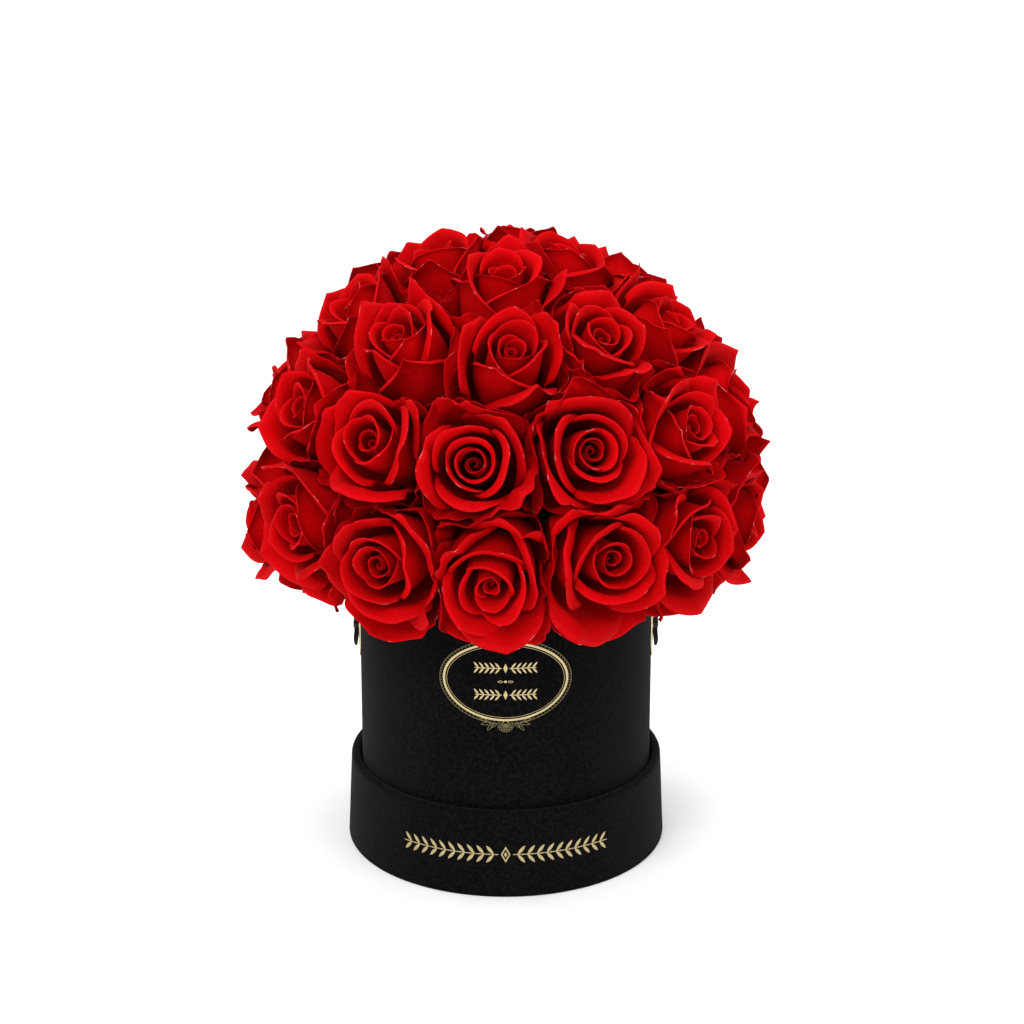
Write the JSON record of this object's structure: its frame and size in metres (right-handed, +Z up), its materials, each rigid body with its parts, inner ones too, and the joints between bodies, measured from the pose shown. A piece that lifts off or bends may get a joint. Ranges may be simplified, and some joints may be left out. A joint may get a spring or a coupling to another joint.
{
  "type": "flower box",
  "caption": "Round suede-covered flower box: a dome of preserved roses in a drum that lifts out of a wider base tray, with a foil label and hanging side pull tabs.",
  "frame": {"origin": "middle of the flat underside of the base tray", "axes": "+Z up along the drum's axis; -Y the front, where the label is; +X the right-hand pull tab seen from the front"},
  "size_m": [0.2394, 0.2418, 0.291],
  "materials": {
    "rose_petals": "soft velvety matte preserved petals",
    "calyx": "matte dried green",
    "steel_wire": "plain drawn wire",
    "board": "grey-brown box board",
    "suede": "black faux suede, short soft nap",
    "tab_suede": "folded black suede",
    "lining_paper": "matte black lining paper",
    "foam": "rigid open-cell floral foam",
    "gold_foil": "pressed pale gold foil",
    "pale_brass": "pale satin brass plating"
  },
  "bodies": {
    "base_tray": {"tray_board_ring": "board", "tray_floor": "board", "tray_suede_wrap": "suede", "tray_liner": "lining_paper", "tray_foil_motif": "gold_foil"},
    "left_pull": {"pull_tab_left": "tab_suede", "pull_collar_left": "tab_suede"},
    "right_pull": {"pull_tab_right": "tab_suede", "pull_collar_right": "tab_suede"},
    "drum": {"drum_board_tube": "board", "drum_floor": "board", "drum_suede_wrap": "suede", "drum_lining": "lining_paper", "foam_block": "foam", "label_foil": "gold_foil", "side_plate_left": "pale_brass", "side_plate_right": "pale_brass", "side_staple_left": "pale_brass", "side_staple_right": "pale_brass", "rose_picks": "steel_wire", "rose_calyxes": "calyx", "rose_01": "rose_petals", "rose_02": "rose_petals", "rose_03": "rose_petals", "rose_04": "rose_petals", "rose_05": "rose_petals", "rose_06": "rose_petals", "rose_07": "rose_petals", "rose_08": "rose_petals", "rose_09": "rose_petals", "rose_10": "rose_petals", "rose_11": "rose_petals", "rose_12": "rose_petals", "rose_13": "rose_petals", "rose_14": "rose_petals", "rose_15": "rose_petals", "rose_16": "rose_petals", "rose_17": "rose_petals", "rose_18": "rose_petals", "rose_19": "rose_petals", "rose_20": "rose_petals", "rose_21": "rose_petals", "rose_22": "rose_petals", "rose_23": "rose_petals", "rose_24": "rose_petals", "rose_25": "rose_petals", "rose_26": "rose_petals", "rose_27": "rose_petals", "rose_28": "rose_petals", "rose_29": "rose_petals", "rose_30": "rose_petals", "rose_31": "rose_petals", "rose_32": "rose_petals", "rose_33": "rose_petals", "rose_34": "rose_petals", "rose_35": "rose_petals", "rose_36": "rose_petals", "rose_37": "rose_petals", "rose_38": "rose_petals", "rose_39": "rose_petals"}
  },
  "joints": [
    {"name": "drum_lift", "type": "slide", "parent": "base_tray", "child": "drum", "axis": [0, 0, 1], "range_m": [0, 0.06]},
    {"name": "left_pull_swing", "type": "hinge", "parent": "drum", "child": "left_pull", "pos_m": [-0.071, 0, 0.1135], "axis": [0, 1, 0], "range_deg": [0, 170]},
    {"name": "right_pull_swing", "type": "hinge", "parent": "drum", "child": "right_pull", "pos_m": [0.071, 0, 0.1135], "axis": [0, -1, 0], "range_deg": [0, 170]}
  ]
}
